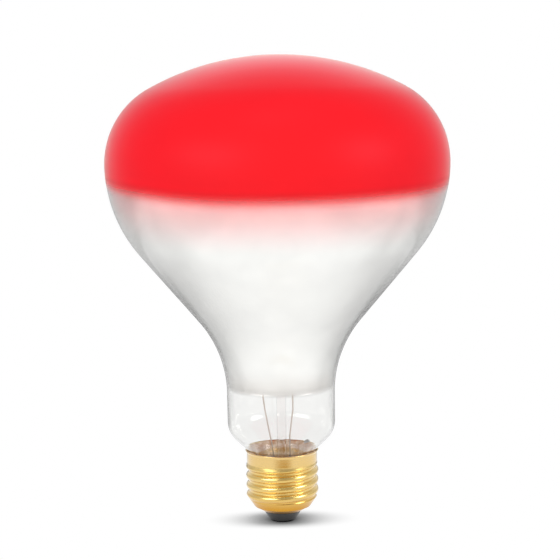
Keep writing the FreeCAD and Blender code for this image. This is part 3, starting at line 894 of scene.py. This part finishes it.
def makeRoomMaterial():
    r = roomLook
    material, tree, coords = stageMaterial("darkStudioWalls")
    place = addNode(tree, "ShaderNodeSeparateXYZ", {"Vector": coords})
    path = addNode(tree, "ShaderNodeLightPath")
    side = addNode(tree, "ShaderNodeMath", {0: place.outputs["X"]}, operation="ABSOLUTE")
    angle = addNode(tree, "ShaderNodeMath", {0: side.outputs[0], 1: place.outputs["Y"]},
                    operation="ARCTAN2")
    rise = addNode(tree, "ShaderNodeMath", {0: place.outputs["Z"], 1: r["radius"]},
                   operation="DIVIDE")
    rise = addNode(tree, "ShaderNodeMath", {0: rise.outputs[0]}, operation="ARCSINE")
    levels = {}
    for name, value, (start, end), (first, last) in (
            ("behind", angle, r["open"], (1.0, 0.0)),
            ("below", rise, r["top"], (1 - r["veil"], 0.0)),
            ("glow", angle, r["turn"], (r["side"], r["front"]))):
        levels[name] = addNode(tree, "ShaderNodeMapRange", {
            "Value": value.outputs[0], "From Min": math.radians(start),
            "From Max": math.radians(end), "To Min": first, "To Max": last},
            interpolation_type="SMOOTHSTEP").outputs["Result"]
    opening = addNode(tree, "ShaderNodeMath", {0: levels["behind"], 1: levels["below"]},
                      operation="MULTIPLY")
    straight = addNode(tree, "ShaderNodeMath", {
        0: path.outputs["Glossy Depth"], 1: r["mirrorDepth"]}, operation="LESS_THAN")
    opening = addNode(tree, "ShaderNodeMath", {0: opening.outputs[0], 1: straight.outputs[0]},
                      operation="MAXIMUM")
    wall = addNode(tree, "ShaderNodeEmission", {"Strength": levels["glow"]})
    gap = addNode(tree, "ShaderNodeBsdfTransparent")
    mixed = addNode(tree, "ShaderNodeMixShader", {
        0: opening.outputs[0], 1: wall.outputs[0], 2: gap.outputs[0]})
    addNode(tree, "ShaderNodeOutputMaterial", {"Surface": mixed.outputs[0]})
    return material


def makeRoom():
    bm = bmesh.new()
    bmesh.ops.create_uvsphere(
        bm, u_segments=roomLook["segments"][0], v_segments=roomLook["segments"][1],
        radius=roomLook["radius"])
    addStage(bm, "darkRoom", makeRoomMaterial(), ("camera", "diffuse", "shadow"))


# A low warm card on the floor in front, which only the cap's reflections see
cardLook = {
    "middle": (0.005, -0.062),
    "half": (0.04, 0.007),     # half of its width and height
    "fade": 0.004,             # from here to its ends it fades out
    "colour": "#CFAE68",
    "glow": 0.85,
}


def makeCard():
    c = cardLook
    bm = bmesh.new()
    upright = Matrix.Rotation(math.pi / 2, 4, "X")
    bmesh.ops.create_grid(
        bm, x_segments=1, y_segments=1, size=1,
        matrix=Matrix.Translation((*c["middle"], c["half"][1])) @ upright
        @ Matrix.Diagonal((*c["half"], 1, 1)))
    material, tree, coords = stageMaterial("warmCard")
    glow = addNode(tree, "ShaderNodeEmission", {
        "Color": linear(c["colour"]), "Strength": c["glow"]})
    gap = addNode(tree, "ShaderNodeBsdfTransparent")
    across = addNode(tree, "ShaderNodeSeparateXYZ", {"Vector": coords}).outputs["X"]
    across = addNode(tree, "ShaderNodeMath", {0: across, 1: c["middle"][0]}, operation="SUBTRACT")
    across = addNode(tree, "ShaderNodeMath", {0: across.outputs[0]}, operation="ABSOLUTE")
    ends = addNode(tree, "ShaderNodeMapRange", {
        "Value": across.outputs[0], "From Min": c["fade"], "From Max": c["half"][0]},
        interpolation_type="SMOOTHSTEP")
    mixed = addNode(tree, "ShaderNodeMixShader", {
        0: ends.outputs["Result"], 1: glow.outputs[0], 2: gap.outputs[0]})
    addNode(tree, "ShaderNodeOutputMaterial", {"Surface": mixed.outputs[0]})
    addStage(bm, "warmCard", material, ("camera", "diffuse", "transmission", "shadow"))


def makeWorld():
    ambient = 0.42             # what lights the lamp from all round; seen, the background is white
    world = bpy.data.worlds.new("whiteStudio")
    bpy.context.scene.world = world
    world.use_nodes = True
    tree = world.node_tree
    tree.nodes.clear()
    path = addNode(tree, "ShaderNodeLightPath")
    seen = addNode(tree, "ShaderNodeMath", {
        0: path.outputs["Is Camera Ray"], 1: path.outputs["Is Glossy Ray"]}, operation="MAXIMUM")
    seen = addNode(tree, "ShaderNodeMath", {
        0: seen.outputs[0], 1: path.outputs["Is Transmission Ray"]}, operation="MAXIMUM")
    strength = addNode(tree, "ShaderNodeMapRange", {
        "Value": seen.outputs[0], "To Min": ambient, "To Max": 1.0})
    background = addNode(tree, "ShaderNodeBackground", {
        "Color": (1, 1, 1, 1), "Strength": strength.outputs["Result"]})
    addNode(tree, "ShaderNodeOutputWorld", {"Surface": background.outputs[0]})


# Softboxes, bright in the middle and soft towards their edges, as a lamp behind cloth is
softboxLook = {
    "distance": 0.9,
    "aim": (0, 0, 0.06),       # the point that they face
    "range": (0.05, 0.42),     # shares of their size where they begin to fall off and are dark
    "peak": 3.4,
}
softboxes = {                  # azimuth is from the camera's side, positive to the right
    "softboxLeft": {"azimuth": -43, "elevation": 20, "size": (1.35, 0.7), "power": 5.6},
    "softboxRight": {"azimuth": 60, "elevation": 20, "size": (0.8, 0.7), "power": 4.6},
    "topLight": {"azimuth": 0, "elevation": 68, "size": (0.8, 0.5), "power": 2.0},
    "backLight": {"azimuth": 180, "elevation": 35, "size": (1.0, 0.5), "power": 0.5},
}


def addSoftbox(name, azimuth, elevation, size, power):
    light = bpy.data.lights.new(name, "AREA")
    light.shape = "RECTANGLE"
    light.size, light.size_y = size
    light.energy = power
    light.use_nodes = True
    tree = light.node_tree
    spot = addNode(tree, "ShaderNodeNewGeometry").outputs["Parametric"]
    spot = addNode(tree, "ShaderNodeVectorMath", {0: spot, 1: (0.5, 0.5, 0)}, operation="DISTANCE")
    level = addNode(tree, "ShaderNodeMapRange", {
        "Value": spot.outputs["Value"], "From Min": softboxLook["range"][0],
        "From Max": softboxLook["range"][1], "To Min": softboxLook["peak"], "To Max": 0.0},
        interpolation_type="SMOOTHSTEP")
    tree.links.new(level.outputs["Result"], tree.nodes["Emission"].inputs["Strength"])
    box = bpy.data.objects.new(name, light)
    turn, rise = math.radians(azimuth), math.radians(elevation)
    back = Vector((math.sin(turn) * math.cos(rise), -math.cos(turn) * math.cos(rise),
                   math.sin(rise)))
    box.location = Vector(softboxLook["aim"]) + back * softboxLook["distance"]
    box.rotation_euler = back.to_track_quat("Z", "Y").to_euler()
    bpy.context.scene.collection.objects.link(box)
    if name == "topLight":     # it lights the crown, but leaves no reflection there
        box.visible_glossy = False
        box.visible_transmission = False


view = {
    "place": (0.0003, -0.5569, 0.1625),
    "pitchDown": 7.39,
    "roll": -0.9,
    "focalPixels": 1530,
    "frame": 560,
    "sensor": 36,
    "clipStart": 0.01,
}


def makeCamera():
    data = bpy.data.cameras.new("camera")
    data.sensor_width = view["sensor"]
    data.lens = view["focalPixels"] / view["frame"] * view["sensor"]
    data.clip_start = view["clipStart"]
    camera = bpy.data.objects.new("camera", data)
    tilt = Matrix.Rotation(math.radians(90 - view["pitchDown"]), 4, "X")
    roll = Matrix.Rotation(math.radians(view["roll"]), 4, "Z")
    camera.matrix_world = Matrix.Translation(view["place"]) @ tilt @ roll
    bpy.context.scene.collection.objects.link(camera)
    bpy.context.scene.camera = camera


makeFloor()
makeRoom()
makeCard()
makeWorld()
for name, values in softboxes.items():
    addSoftbox(name, **values)
makeCamera()
bpy.context.scene.view_settings.view_transform = "Standard"
print("studio set")
